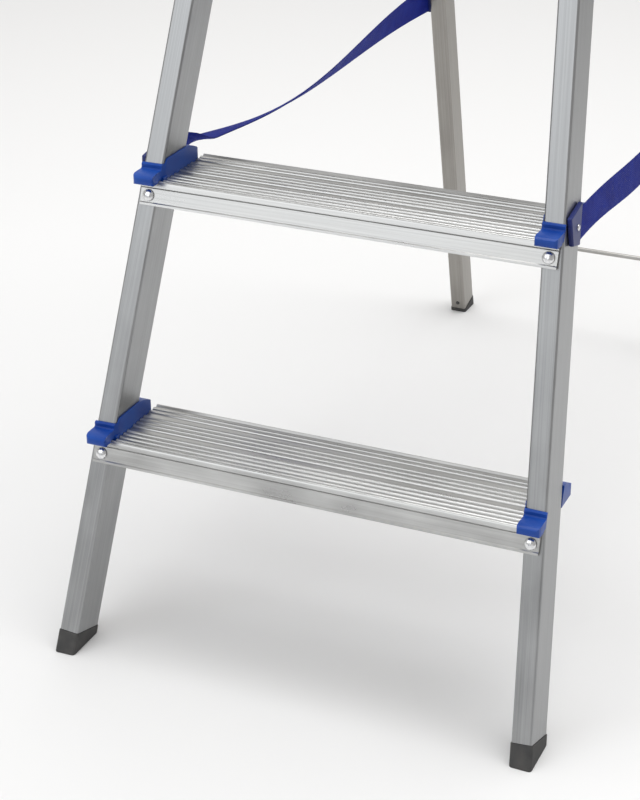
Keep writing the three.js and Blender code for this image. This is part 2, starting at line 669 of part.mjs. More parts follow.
function rearLeg(frame) {
  const sign = frame.side.sign;
  const start = REAR_FOOT_LENGTH + GAP;
  const top = upTube(frame, HINGE_Z + LEG_HEAD);
  const tube = extrude(tubeShape(frame, LEG), top - start).translate(0, 0, start);
  const holes = BRACE_HEIGHTS.map((z) => {
    const innerFace = outerX(frame, z) - LEG.width;
    const ends = [innerFace - 5, innerFace + 6].map((x) => sign * x);
    return cylinderAlongX(BRACE_RADIUS + GAP, ...ends, legMiddleY(frame, z), z, 10);
  });
  holes.push(cylinderAlongX(BAR.radius + GAP + 0.1, sign * 100, sign * 200, hingeY, HINGE_Z, 16));
  const nubHole = atNub(frame, NUB.radius + GAP, -2, LEG.depth / 2);
  const geometry = cut(tube, nubHole, ...holes.map((hole) => seenFrom(frame.along, hole)));
  piece(`rear_leg_${frame.side.name}`, geometry, aluminium, frame.along);
}

// A round bar across the front wall of a rear leg, where its foot locks, from y0 to y1.
function atNub(frame, radius, y0, y1) {
  const [x] = inward(frame, LEG.width / 2, 0);
  return new THREE.CylinderGeometry(radius, radius, y1 - y0, 12).translate(x, (y0 + y1) / 2, NUB.height);
}

// Small rubber plug foot: a thin rim under the tube, a plug inside it and a knob through its front.
function rearFoot(frame) {
  const proud = 0.6;
  const inset = LEG.wall + GAP + 0.1;
  const [x0, x1] = inward(frame, -proud, LEG.width + proud).sort((a, b) => a - b);
  const [px0, px1] = inward(frame, inset, LEG.width - inset).sort((a, b) => a - b);
  const below = -20;
  const rimShape = roundedRect(x0, -proud, x1, LEG.depth + proud, LEG.corner + proud);
  const rim = extrude(rimShape, REAR_FOOT_LENGTH - below).translate(0, 0, below);
  const plug = block(px0, inset, 0, px1, LEG.depth - inset, REAR_FOOT_LENGTH + 26);
  const underFloor = seenFrom(frame.along, block(-400, 600, -200, 400, 1100, 0));
  const nub = atNub(frame, NUB.radius, -NUB.proud, LEG.depth / 2);
  piece(`rear_foot_${frame.side.name}`, cut(join(rim, plug, nub), underFloor), rubber, frame.along);
}

// Plastic plug that closes the top of a rear leg.
function rearLegCap(frame) {
  const top = upTube(frame, HINGE_Z + LEG_HEAD) + GAP;
  const inset = LEG.wall + GAP + 0.1;
  const [x0, x1] = inward(frame, 0, LEG.width).sort((a, b) => a - b);
  const [px0, px1] = inward(frame, inset, LEG.width - inset).sort((a, b) => a - b);
  const lid = extrude(roundedRect(x0, 0, x1, LEG.depth, LEG.corner), 3.5).translate(0, 0, top);
  const plug = block(px0, inset, top - 10, px1, LEG.depth - inset, top + 1);
  piece(`rear_leg_cap_${frame.side.name}`, join(lid, plug), bluePlastic, frame.along);
}

// Round rod across the rear frame, its ends let into the legs' inner walls.
function braceRod(name, height, parent) {
  const half = outerX(rears[0], height) - LEG.width + 4;
  const rod = cylinderAlongX(BRACE_RADIUS, -half, half, 0, 0, 10);
  const mesh = piece(name, rod, steelRod, parent);
  mesh.position.set(0, legMiddleY(rears[0], height), height);
}

// ---- Straps -------------------------------------------------------------------------------------

// Plastic clip, held by one rivet, that clamps a strap's end to the outer face of an upright. It
// widens towards the strap, which leaves backwards (towards = 1) or forwards (towards = -1).
function strapPlate(frame, section, name, height, inset, towards) {
  const sign = frame.side.sign;
  const depth = depthAcross(frame, section);
  const strapEdge = depth - inset;
  const fromFront = (along) => (towards > 0 ? along : depth - along);
  const corner = (along, up) => new THREE.Vector2(fromFront(along) + up * frame.slope, up);
  const shape = new THREE.Shape([
    corner(PLATE.end, PLATE.narrow / 2),
    corner(PLATE.end + PLATE.slant, -PLATE.narrow / 2),
    corner(strapEdge, -PLATE.wide / 2),
    corner(strapEdge, PLATE.wide / 2),
  ]);
  const [x0, x1] = [sign * GAP, sign * (GAP + PLATE.thickness)].sort((a, b) => a - b);
  const plate = extrudeAlongX(shape, x0, x1);
  const mesh = piece(`strap_plate_${name}_${frame.side.name}`, plate, bluePlastic, frame.plumb);
  mesh.position.set(0, frontY(frame, height) - frame.footY, upFace(frame, height));
  const head = rivet(2.6, 1.3).rotateZ((sign * Math.PI) / 2);
  head.translate(sign * (GAP + PLATE.thickness), fromFront(strapEdge - PLATE.rivet), 0);
  const headMesh = piece(`strap_rivet_${name}_${frame.side.name}`, head, zinc, frame.plumb);
  headMesh.position.copy(mesh.position);
}

// Flat webbing between the two clips of one side, standing on edge and sagging between its ends.
function strap(front, rear, parent) {
  const sign = front.side.sign;
  const start = new THREE.Vector2(
    sign * (outerX(front, STRAP_FRONT_Z) + STRAP.standoff),
    frontY(front, STRAP_FRONT_Z) + depthAcross(front, STILE) - FRONT_PLATE_INSET + STRAP.gap,
  );
  const end = new THREE.Vector2(
    sign * (outerX(rear, STRAP_REAR_Z) + STRAP.standoff),
    frontY(rear, STRAP_REAR_Z) + REAR_PLATE_INSET - STRAP.gap,
  );
  const run = start.distanceTo(end);
  const edge = (t, up) => {
    const lean = THREE.MathUtils.lerp(front.slope, rear.slope, t);
    const sag = STRAP.sag * Math.sin(Math.PI * t ** 0.87) ** 2.2;
    return new THREE.Vector2(t * run + up * lean, t * (STRAP_REAR_Z - STRAP_FRONT_Z) - sag + up);
  };
  const steps = 12;
  const stations = Array.from({ length: steps + 1 }, (_, i) => i / steps);
  const lower = stations.map((t) => edge(t, -STRAP.width / 2));
  const upper = stations.map((t) => edge(t, STRAP.width / 2)).reverse();
  const outline = new THREE.Shape([...lower, ...upper]);
  const slab = extrudeAlongX(outline, -STRAP.thickness / 2, STRAP.thickness / 2);
  const mesh = piece(`strap_${front.side.name}`, slab, webbing, parent);
  mesh.position.set(start.x, start.y, STRAP_FRONT_Z);
  mesh.rotation.z = end.sub(start).angle() - Math.PI / 2;
}

// ---- Assembly -----------------------------------------------------------------------------------

const RAIL_NOSE = 5; // rounded end of a rail beyond the deck
const fronts = SIDES.map((side) => upright(side, FRONT_WIDTH, 0, FRONT_TAPER, FRONT_SLOPE));
const rears = SIDES.map((side) => upright(side, REAR_WIDTH, REAR_FOOT_Y, REAR_TAPER, -REAR_SLOPE));
const hingeY = legMiddleY(rears[0], HINGE_Z);
const pinY = frontY(fronts[0], PIN_Z) + depthAcross(fronts[0], STILE) / 2;
const platformFront = pinY - 18;
const platformRear = hingeY + PLATFORM_OVERHANG;

const ladder = new THREE.Group();
ladder.add(...fronts.map((frame) => frame.plumb), ...rears.map((frame) => frame.plumb));

for (const frame of fronts) {
  frontStile(frame);
  frontFoot(frame);
  handrailSocket(frame);
  hingeBracket(frame);
  strapPlate(frame, STILE, "front", STRAP_FRONT_Z, FRONT_PLATE_INSET, 1);
}
for (let index = 0; index < TREAD_COUNT; index += 1) {
  tread(index, fronts, ladder);
  for (const frame of fronts) {
    treadCollar(frame, index, ladder);
    treadRivet(frame, index);
  }
}
handrailHoop(fronts, ladder);
hingeBar(ladder);
platformDeck(ladder);
for (const side of SIDES) {
  hingeCap(side, ladder);
  platformRail(side, ladder);
  platformPin(side, ladder);
}
for (const frame of rears) {
  rearLeg(frame);
  rearFoot(frame);
  rearLegCap(frame);
  strapPlate(frame, LEG, "rear", STRAP_REAR_Z, REAR_PLATE_INSET, -1);
}
braceRod("rear_brace_lower", BRACE_HEIGHTS[0], ladder);
braceRod("rear_brace_upper", BRACE_HEIGHTS[1], ladder);
fronts.forEach((front, index) => strap(front, rears[index], ladder));

// The footprint runs from the front edge of the front feet to the back edge of the rear feet.
const footprint = new THREE.Box3().setFromObject(ladder, true);
ladder.position.y = -(footprint.min.y + footprint.max.y) / 2;

export default ladder;
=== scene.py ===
"""Looks of a folding aluminium step ladder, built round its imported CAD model.

Metres, +Z up. The user stands at -Y facing +Y, and +X is the user's right. The CAD nodes keep their
places; here they get materials and rounded edges, and the round, woven and riveted pieces get finer
meshes that stand for the CAD ones.
"""

import math

import bmesh
import bpy
from mathutils import Matrix, Vector


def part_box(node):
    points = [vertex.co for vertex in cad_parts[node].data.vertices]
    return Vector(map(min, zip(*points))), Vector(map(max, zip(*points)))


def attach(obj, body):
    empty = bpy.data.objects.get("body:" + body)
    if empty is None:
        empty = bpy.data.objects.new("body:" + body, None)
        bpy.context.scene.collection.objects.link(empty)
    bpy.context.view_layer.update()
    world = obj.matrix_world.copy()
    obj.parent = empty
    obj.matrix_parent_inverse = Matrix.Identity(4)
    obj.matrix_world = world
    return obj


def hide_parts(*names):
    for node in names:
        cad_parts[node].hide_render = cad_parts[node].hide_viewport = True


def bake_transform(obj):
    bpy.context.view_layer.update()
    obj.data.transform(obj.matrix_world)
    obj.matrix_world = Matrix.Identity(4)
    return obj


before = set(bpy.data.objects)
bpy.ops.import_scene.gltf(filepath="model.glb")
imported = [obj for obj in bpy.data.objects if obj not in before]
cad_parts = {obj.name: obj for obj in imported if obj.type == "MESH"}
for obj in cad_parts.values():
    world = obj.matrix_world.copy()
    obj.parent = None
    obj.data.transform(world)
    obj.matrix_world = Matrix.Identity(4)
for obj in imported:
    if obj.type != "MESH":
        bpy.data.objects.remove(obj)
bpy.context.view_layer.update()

# ---- Driving values -----------------------------------------------------------------------------

MM = 0.001
SIDES = {"left": -1, "right": 1}
TREADS = (1, 2, 3, 4)

# Slopes of the uprights: inward run and backward run per unit of height
FRONT_TAPER, FRONT_SLOPE = 0.085, math.tan(math.radians(17.6))
REAR_TAPER, REAR_SLOPE = 0.0073, -math.tan(math.radians(15.05))

STRAP_WIDTH = 30 * MM
STRAP_THICKNESS = 1.5 * MM
WOVEN_EDGE_THINNING = 0.45
STRAP_SAG = 22.5 * MM
SAG_EARLY, SAG_ROUND = 0.87, 2.2  # the sag is deepest before the middle, and flattens at both ends
STRAP_BOW = 1.3  # above 1, a strap keeps outside the collar before it turns in to the rear leg
STRAP_OUTWARD = 1.05 * MM  # a strap's middle, outside the middle of the clip's thickness
STRAP_GAP = 0.3 * MM  # between a strap's end and the wide edge of its clip
STRAP_GATHER = 0.16  # share of its width that a strap loses where the front clip gathers it
GATHER_END = 0.35  # share of its length at which it has its full width again
LEFT_STRAP_LEAN = math.radians(98)  # how far the slack left strap leans inwards near its front end
ROLL_START, ROLL_LENGTH = 0.065, 0.08  # where the left strap rolls over, as shares of its length

CAMERA_PLACE = Vector((0.6038, -1.7419, 0.9865))
CAMERA_AZIMUTH = math.radians(23.73)
CAMERA_ELEVATION = math.radians(25.90)
CAMERA_LENS = 90.1


def upright_turn(sign, taper, slope):
    """Rotation of an upright: its local Z runs up the tube and its local -Y looks forward."""
    lean = math.atan(slope / math.hypot(1, taper))
    return Matrix.Rotation(-sign * math.atan(taper), 3, "Y") @ Matrix.Rotation(-lean, 3, "X")


def local_box(node, turn):
    """Lowest and highest corner of a CAD node, measured along the axes of a rotation."""
    points = [turn.transposed() @ v.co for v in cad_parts[node].data.vertices]
    low = Vector([min(p[i] for p in points) for i in range(3)])
    high = Vector([max(p[i] for p in points) for i in range(3)])
    return low, high


# ---- Camera, light and stage --------------------------------------------------------------------


def make_camera():
    data = bpy.data.cameras.new("camera")
    data.lens = CAMERA_LENS
    data.sensor_width = 36
    camera = bpy.data.objects.new("camera", data)
    bpy.context.scene.collection.objects.link(camera)
    flat = math.cos(CAMERA_ELEVATION)
    back = Vector(
        (math.sin(CAMERA_AZIMUTH) * flat, -math.cos(CAMERA_AZIMUTH) * flat, math.sin(CAMERA_ELEVATION))
    )
    camera.location = CAMERA_PLACE
    camera.rotation_mode = "QUATERNION"
    camera.rotation_quaternion = (-back).to_track_quat("-Z", "Y")
    bpy.context.scene.camera = camera


def softbox(name, place, size, power, colour):
    """A square area light aimed at the middle of the ladder."""
    data = bpy.data.lights.new(name, "AREA")
    data.shape = "SQUARE"
    data.size = size
    data.energy = power
    data.color = colour
    light = bpy.data.objects.new(name, data)
    bpy.context.scene.collection.objects.link(light)
    light.location = place
    middle = Vector((0, -0.1, 0.5))
    light.rotation_euler = (middle - Vector(place)).to_track_quat("-Z", "Y").to_euler()


def make_world():
    world = bpy.data.worlds.new("studio")
    world.use_nodes = True
    background = world.node_tree.nodes["Background"]
    background.inputs["Color"].default_value = (1.0, 0.985, 0.965, 1)
    background.inputs["Strength"].default_value = 0.5
    bpy.context.scene.world = world


def make_floor():
    edge = 14
    mesh = bpy.data.meshes.new("floor")
    corners = [(-edge, -edge, 0), (edge, -edge, 0), (edge, edge, 0), (-edge, edge, 0)]
    mesh.from_pydata(corners, [], [(0, 1, 2, 3)])
    floor = bpy.data.objects.new("floor", mesh)
    bpy.context.scene.collection.objects.link(floor)
    material, _, _, shader = new_material("pale_floor")
    shader.inputs["Base Color"].default_value = (0.86, 0.86, 0.86, 1)
    shader.inputs["Roughness"].default_value = 0.9
    mesh.materials.append(material)


# ---- Materials ----------------------------------------------------------------------------------


def new_material(name):
    material = bpy.data.materials.new(name)
    material.use_nodes = True
    tree = material.node_tree
    return material, tree.nodes, tree.links, tree.nodes["Principled BSDF"]


def stretched_noise(nodes, links, turn, stretch, detail=3.0):
    """Noise over the piece's own coordinates, turned and scaled to streak along one direction."""
    coordinates = nodes.new("ShaderNodeTexCoord")
    turning = nodes.new("ShaderNodeMapping")
    turning.inputs["Rotation"].default_value = turn.transposed().to_euler()
    scaling = nodes.new("ShaderNodeMapping")
    scaling.inputs["Scale"].default_value = stretch
    noise = nodes.new("ShaderNodeTexNoise")
    noise.inputs["Scale"].default_value = 1.0
    noise.inputs["Detail"].default_value = detail
    links.new(coordinates.outputs["Object"], turning.inputs["Vector"])
    links.new(turning.outputs["Vector"], scaling.inputs["Vector"])
    links.new(scaling.outputs["Vector"], noise.inputs["Vector"])
    return noise.outputs["Fac"]


def ramp(nodes, links, value, low, high, dark, light):
    """Colour ramp from dark at value low to light at value high."""
    node = nodes.new("ShaderNodeValToRGB")
    node.color_ramp.elements[0].position = low
    node.color_ramp.elements[0].color = (*dark, 1)
    node.color_ramp.elements[1].position = high
    node.color_ramp.elements[1].color = (*light, 1)
    links.new(value, node.inputs["Fac"])
    return node.outputs["Color"]


def mapped(nodes, links, value, low, high):
    """Spreads a 0 to 1 value over low to high."""
    node = nodes.new("ShaderNodeMapRange")
    node.inputs["From Min"].default_value = 0.3
    node.inputs["From Max"].default_value = 0.7
    node.inputs["To Min"].default_value = low
    node.inputs["To Max"].default_value = high
    links.new(value, node.inputs["Value"])
    return node.outputs["Result"]


def bump(nodes, links, height, shader, strength, distance, under=None):
    node = nodes.new("ShaderNodeBump")
    node.inputs["Strength"].default_value = strength
    node.inputs["Distance"].default_value = distance
    links.new(height, node.inputs["Height"])
    if under is not None:
        links.new(under, node.inputs["Normal"])
    links.new(node.outputs["Normal"], shader.inputs["Normal"])
    return node.outputs["Normal"]


def product(nodes, links, one, other):
    """Multiplies two colours."""
    node = nodes.new("ShaderNodeMix")
    node.data_type = "RGBA"
    node.blend_type = "MULTIPLY"
    node.inputs["Factor"].default_value = 1.0
    links.new(one, node.inputs[6])
    links.new(other, node.inputs[7])
    return node.outputs[2]


def extruded_metal(name, turn, dark, light, roughness=(0.3, 0.42)):
    """Mill-finish aluminium: fine die lines along the extrusion and cloudy patches."""
    material, nodes, links, shader = new_material(name)
    lines = stretched_noise(nodes, links, turn, (900, 900, 5))
    clouds = stretched_noise(nodes, links, turn, (38, 38, 16), detail=5)
    tone = ramp(nodes, links, clouds, 0.3, 0.72, dark, light)
    streaks = ramp(nodes, links, lines, 0.25, 0.65, (0.82, 0.82, 0.82), (1, 1, 1))
    links.new(product(nodes, links, tone, streaks), shader.inputs["Base Color"])
    links.new(mapped(nodes, links, clouds, *roughness), shader.inputs["Roughness"])
    shader.inputs["Metallic"].default_value = 1.0
    bump(nodes, links, lines, shader, 0.2, 0.0001)
    return material


def moulded_plastic(name, dark, light, roughness=(0.3, 0.42)):
    """Moulded polypropylene with a fine spark-eroded grain and slight flow marks."""
    material, nodes, links, shader = new_material(name)
    still = Matrix.Identity(3)
    flow = stretched_noise(nodes, links, still, (30, 30, 50), detail=2)
    grain = stretched_noise(nodes, links, still, (1500, 1500, 1500), detail=2)
    links.new(ramp(nodes, links, flow, 0.3, 0.7, dark, light), shader.inputs["Base Color"])
    links.new(mapped(nodes, links, flow, *roughness), shader.inputs["Roughness"])
    shader.inputs["Specular IOR Level"].default_value = 0.3
    bump(nodes, links, grain, shader, 0.15, 0.0002)
    return material


def rubber(name):
    """Matt dark grey rubber with a pitted skin and dusty patches."""
    material, nodes, links, shader = new_material(name)
    still = Matrix.Identity(3)
    dust = stretched_noise(nodes, links, still, (90, 90, 60), detail=6)
    pits = stretched_noise(nodes, links, still, (1100, 1100, 1100), detail=3)
    tone = ramp(nodes, links, dust, 0.35, 0.75, (0.045, 0.045, 0.046), (0.085, 0.083, 0.08))
    links.new(tone, shader.inputs["Base Color"])
    links.new(mapped(nodes, links, dust, 0.62, 0.85), shader.inputs["Roughness"])
    shader.inputs["Specular IOR Level"].default_value = 0.35
    bump(nodes, links, pits, shader, 0.35, 0.0003)
    return material


def bright_zinc(name):
    """Bright zinc plating with a faint mottle."""
    material, nodes, links, shader = new_material(name)
    mottle = stretched_noise(nodes, links, Matrix.Identity(3), (500, 500, 500))
    tone = ramp(nodes, links, mottle, 0.3, 0.7, (0.62, 0.63, 0.65), (0.86, 0.86, 0.86))
    links.new(tone, shader.inputs["Base Color"])
    links.new(mapped(nodes, links, mottle, 0.14, 0.3), shader.inputs["Roughness"])
    shader.inputs["Metallic"].default_value = 1.0
    return material


def web_wave(nodes, links, direction, period, distortion):
    """Sine ridges over the strap's own length-and-width coordinates, which are in metres."""
    coordinates = nodes.new("ShaderNodeTexCoord")
    wave = nodes.new("ShaderNodeTexWave")
    wave.bands_direction = direction
    wave.inputs["Scale"].default_value = math.tau / (20 * period)
    wave.inputs["Distortion"].default_value = distortion
    wave.inputs["Detail"].default_value = 1.0
    links.new(coordinates.outputs["UV"], wave.inputs["Vector"])
    return wave.outputs["Fac"]


def webbing(name):
    """Woven polypropylene: ribs along the strap crossed by finer weft ridges, with painted shade darkening
    the dye in the grooves between them.
    """
    material, nodes, links, shader = new_material(name)
    ribs = web_wave(nodes, links, "Y", 1.9 * MM, 0.0)
    weft = web_wave(nodes, links, "X", 1.1 * MM, 0.4)
    wear = stretched_noise(nodes, links, Matrix.Identity(3), (70, 70, 70), detail=4)
    # Painted shade: the dye is darkened where the ribs and weft ridges dip, in the grooves of the weave.
    weave_groove_shade = product(
        nodes,
        links,
        ramp(nodes, links, ribs, 0.0, 0.6, (0.55, 0.55, 0.6), (1, 1, 1)),
        ramp(nodes, links, weft, 0.0, 0.7, (0.62, 0.62, 0.66), (1, 1, 1)),
    )
    dye = ramp(nodes, links, wear, 0.3, 0.7, (0.007, 0.018, 0.28), (0.013, 0.032, 0.37))
    links.new(product(nodes, links, dye, weave_groove_shade), shader.inputs["Base Color"])
    links.new(mapped(nodes, links, weft, 0.6, 0.8), shader.inputs["Roughness"])
    shader.inputs["Specular IOR Level"].default_value = 0.15
    under = bump(nodes, links, ribs, shader, 0.5, 0.0004)
    bump(nodes, links, weft, shader, 0.5, 0.0003, under=under)
    return material


FRONT_TONES = ((0.33, 0.335, 0.34), (0.42, 0.425, 0.43))
# Rear legs: the front stiles' aluminium painted darker and warmer, as painted shade for faces turned away
# from the cool front light.
REAR_SHADED_TONES = ((0.31, 0.295, 0.275), (0.38, 0.365, 0.34))
TREAD_TONES = ((0.49, 0.49, 0.485), (0.61, 0.61, 0.6))


def make_materials():
    """Every material by name. Extruded metal has one for each direction in which it is drawn, and the rear
    legs' copy is painted darker and warmer as painted shade.
    """
    across = Matrix.Rotation(math.pi / 2, 3, "Y")
    made = {
        "across": extruded_metal("tread_metal", across, *TREAD_TONES, roughness=(0.26, 0.38)),
        "hoop": extruded_metal("hoop_metal", upright_turn(1, 0, FRONT_SLOPE), *FRONT_TONES),
        "bar": extruded_metal("bar_metal", across, *FRONT_TONES),
        "plate": extruded_metal("bracket_metal", Matrix.Identity(3), *FRONT_TONES),
        "brace": extruded_metal("brace_steel", across, (0.38, 0.37, 0.35), (0.52, 0.51, 0.49)),
        "blue": moulded_plastic("blue_plastic", (0.004, 0.042, 0.27), (0.01, 0.07, 0.36)),
        "rubber": rubber("foot_rubber"),
        "zinc": bright_zinc("bright_zinc"),
        "navy": moulded_plastic("navy_plastic", (0.012, 0.02, 0.12), (0.02, 0.032, 0.17)),
        "webbing": webbing("blue_webbing"),
    }
    for side, sign in SIDES.items():
        front = upright_turn(sign, FRONT_TAPER, FRONT_SLOPE)
        rear = upright_turn(sign, REAR_TAPER, REAR_SLOPE)
        made[f"front_{side}"] = extruded_metal(f"front_stile_metal_{side}", front, *FRONT_TONES)
        made[f"rear_{side}"] = extruded_metal(f"rear_leg_shaded_metal_{side}", rear, *REAR_SHADED_TONES)
    return made


# ---- CAD nodes that keep their shape ------------------------------------------------------------


def dress(node, material, edge=0.0, segments=2):
    """Gives a CAD node its material and rounded edges, by modifiers that leave its mesh as it is."""
    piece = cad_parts[node]
    piece.material_slots[0].material = material
    for layer in ("custom_normal", "sharp_face", "sharp_edge"):
        found = piece.data.attributes.get(layer)
        if found is not None:
            piece.data.attributes.remove(found)
    weld = piece.modifiers.new("weld", "WELD")
    weld.merge_threshold = 0.00001
    flatten = piece.modifiers.new("flatten", "DECIMATE")
    flatten.decimate_type = "DISSOLVE"
    flatten.angle_limit = math.radians(1.5)
    if edge:
        bevel = piece.modifiers.new("round", "BEVEL")
        bevel.width = edge
        bevel.segments = segments
        bevel.limit_method = "ANGLE"
        bevel.angle_limit = math.radians(32)
    normals = piece.modifiers.new("normals", "WEIGHTED_NORMAL")
    normals.keep_sharp = False
    return piece


def dress_frame(looks):
    for side in SIDES:
        dress(f"front_stile_{side}", looks[f"front_{side}"], edge=0.35 * MM)
        dress(f"rear_leg_{side}", looks[f"rear_{side}"], edge=0.35 * MM)
        dress(f"front_foot_{side}", looks["rubber"], edge=1.1 * MM, segments=3)
        dress(f"rear_foot_{side}", looks["rubber"], edge=1.0 * MM, segments=3)
        dress(f"handrail_socket_{side}", looks["blue"], edge=1.0 * MM, segments=3)
        dress(f"hinge_bracket_{side}", looks["plate"], edge=0.5 * MM)
        dress(f"rear_leg_cap_{side}", looks["blue"], edge=0.7 * MM)
        dress(f"platform_rail_{side}", looks["blue"], edge=1.2 * MM, segments=3)
        dress(f"strap_plate_front_{side}", looks["navy"], edge=1.0 * MM, segments=3)
        dress(f"strap_plate_rear_{side}", looks["navy"], edge=1.0 * MM, segments=3)
        for index in TREADS:
            dress(f"tread_cap_{index}_{side}", looks["blue"], edge=0.9 * MM, segments=3)
    for index in TREADS:
        dress(f"tread_{index}", looks["across"], edge=0.18 * MM, segments=1)
    dress("platform_deck", looks["across"], edge=0.18 * MM, segments=1)


# ---- New pieces ---------------------------------------------------------------------------------


def finish_piece(name, work, material, smooth=35):
    """Turns a bmesh into a named object with smooth shading up to an angle in degrees."""
    bmesh.ops.recalc_face_normals(work, faces=work.faces)
    mesh = bpy.data.meshes.new(name)
    work.to_mesh(mesh)
    work.free()
    mesh.materials.append(material)
    mesh.shade_smooth()
    mesh.set_sharp_from_angle(angle=math.radians(smooth))
    piece = bpy.data.objects.new(name, mesh)
    bpy.context.scene.collection.objects.link(piece)
    return piece


def skin(work, rings, closed_ends=True):
    """Joins rings of points, all of one length, into a tube."""
    rows = [[work.verts.new(point) for point in ring] for ring in rings]
    for one, other in zip(rows, rows[1:]):
        for i in range(len(one)):
            j = (i + 1) % len(one)
            work.faces.new((one[i], one[j], other[j], other[i]))
    if closed_ends:
        work.faces.new(rows[0])
        work.faces.new(rows[-1])
    return rows


def turned(name, profile, turn, place, material, sides=40):
    """A solid of revolution about its local Z. The profile lists (radius, height) and starts and ends
    on the axis, whose two points are left out."""
    work = bmesh.new()
    rings = []
    for radius, height in profile:
        angles = [math.tau * i / sides for i in range(sides)]
        ring = [Vector((radius * math.cos(a), radius * math.sin(a), height)) for a in angles]
        rings.append([place + turn @ point for point in ring])
    skin(work, rings)
    return finish_piece(name, work, material)


def rivet_profile(radius, height):
    """A domed pop-rivet head with a rolled rim and a dimple where its mandrel broke off."""
    rim = 0.35 * MM
    profile = [(radius, 0), (radius, rim)]
    steps = 7
    for i in range(1, steps):
        angle = (math.pi / 2) * i / steps
        profile.append((radius * math.cos(angle), rim + (height - rim) * math.sin(angle)))
    top = profile[-1][1]
    profile.append((radius * 0.2, top))
    profile.append((radius * 0.17, top - 0.5 * MM))
    return profile


def rivet(node, turn, facing, body, radius, height, material):
    """Replaces a CAD rivet. facing is the rivet's outward axis in the local frame: '-Y', 'X' or '-X'."""
    low, high = local_box(node, turn)
    middle = (low + high) / 2
    if facing == "-Y":
        seat = Vector((middle.x, low.y + height, middle.z))
        spin = Matrix.Rotation(math.pi / 2, 3, "X")
    elif facing == "X":
        seat = Vector((high.x - height, middle.y, middle.z))
        spin = Matrix.Rotation(math.pi / 2, 3, "Y")
    else:
        seat = Vector((low.x + height, middle.y, middle.z))
        spin = Matrix.Rotation(-math.pi / 2, 3, "Y")
    profile = rivet_profile(radius, height)
    piece = turned(f"{node}_head", profile, turn @ spin, turn @ seat, material)
    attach(piece, body)
    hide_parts(node)


def make_rivets(looks):
    tread_radius, tread_height = 5.2 * MM, 2.9 * MM
    strap_radius, strap_height = 2.6 * MM, 1.3 * MM
    for side, sign in SIDES.items():
        front = upright_turn(sign, FRONT_TAPER, FRONT_SLOPE)
        front_plumb = upright_turn(sign, FRONT_TAPER, 0)
        rear_plumb = upright_turn(sign, REAR_TAPER, 0)
        outward = "X" if sign > 0 else "-X"
        for index in TREADS:
            node = f"tread_rivet_{index}_{side}"
            rivet(node, front, "-Y", "front_frame", tread_radius, tread_height, looks["zinc"])
        for end, turn in (("front", front_plumb), ("rear", rear_plumb)):
            node = f"strap_rivet_{end}_{side}"
            body = f"{end}_frame"
            rivet(node, turn, outward, body, strap_radius, strap_height, looks["zinc"])


def hoop_route(low, high, radius, bend):
    """Centre line of the handrail hoop in its own leaning plane: two legs and a top with round corners."""
    half = high.x - radius
    top = high.z - radius
    corner = Vector((half, 0, top))
    steps = 14
    points = [Vector((half, 0, low.z)), Vector((half, 0, (low.z + top - bend) / 2))]
    start = corner - Vector((0, 0, bend))
    end = corner - Vector((bend, 0, 0))
    for i in range(steps + 1):
        t = i / steps
        points.append(start * (1 - t) ** 2 + corner * 2 * t * (1 - t) + end * t * t)
    points.append(Vector((0, 0, top)))
    mirrored = [Vector((-p.x, p.y, p.z)) for p in reversed(points[:-1])]
    return points + mirrored


def sweep(route, radius, sides, normal):
    """Rings of a round tube along a flat route; normal is the direction square to its plane."""
    rings = []
    for i, point in enumerate(route):
        before = route[max(i - 1, 0)]
        after = route[min(i + 1, len(route) - 1)]
        along = (after - before).normalized()
        side = along.cross(normal).normalized()
        angles = [math.tau * k / sides for k in range(sides)]
        rings.append([point + radius * (math.cos(a) * side + math.sin(a) * normal) for a in angles])
    return rings


def make_hoop(looks):
    turn = upright_turn(1, 0, FRONT_SLOPE)
    low, high = local_box("handrail_hoop", turn)
    radius, bend = 10 * MM, 75 * MM
    route = hoop_route(low, high, radius, bend)
    depth = (low.y + high.y) / 2
    placed = [turn @ Vector((p.x, depth, p.z)) for p in route]
    work = bmesh.new()
    skin(work, sweep(placed, radius, 32, turn @ Vector((0, 1, 0))))
    piece = finish_piece("handrail_tube", work, looks["hoop"])
    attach(piece, "front_frame")
    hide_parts("handrail_hoop")


def make_bar(looks):
    """Hinge bar: a tube whose open ends are closed by the caps."""
    low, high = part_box("hinge_bar")
    radius = (high.z - low.z) / 2
    middle = (low + high) / 2
    half = (high.x - low.x) / 2
    edge = 0.5 * MM
    wall = 1.5 * MM
    bore = 20 * MM  # depth of the opening at each end
    profile = [
        (radius - wall, -half + bore),
        (radius - wall, -half),
        (radius - edge, -half),
        (radius, -half + edge),
        (radius, half - edge),
        (radius - edge, half),
        (radius - wall, half),
        (radius - wall, half - bore),
    ]
    turn = Matrix.Rotation(math.pi / 2, 3, "Y")
    piece = turned("hinge_tube", profile, turn, middle, looks["bar"])
    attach(piece, "front_frame")
    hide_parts("hinge_bar")


def make_caps(looks):
    """Domed plugs on the ends of the hinge bar."""
    plug, flange = 7.2 * MM, 13 * MM  # radii
    plug_length, gap, edge = 14 * MM, 0.3 * MM, 0.4 * MM
    rim, dome = 1.8 * MM, 4.0 * MM  # heights
    for side, sign in SIDES.items():
        node = f"hinge_cap_{side}"
        low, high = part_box(node)
        seat_x = high.x - rim - dome if sign > 0 else low.x + rim + dome
        place = Vector((seat_x, (low.y + high.y) / 2, (low.z + high.z) / 2))
        profile = [(plug, -plug_length), (plug, gap), (flange - edge, gap), (flange, gap + edge)]
        profile.append((flange, rim))
        steps = 10
        for i in range(1, steps):
            angle = (math.pi / 2) * i / steps
            profile.append((flange * math.cos(angle), rim + dome * math.sin(angle)))
        turn = Matrix.Rotation(sign * math.pi / 2, 3, "Y")
        piece = turned(f"{node}_dome", profile, turn, place, looks["blue"])
        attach(piece, "front_frame")
        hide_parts(node)


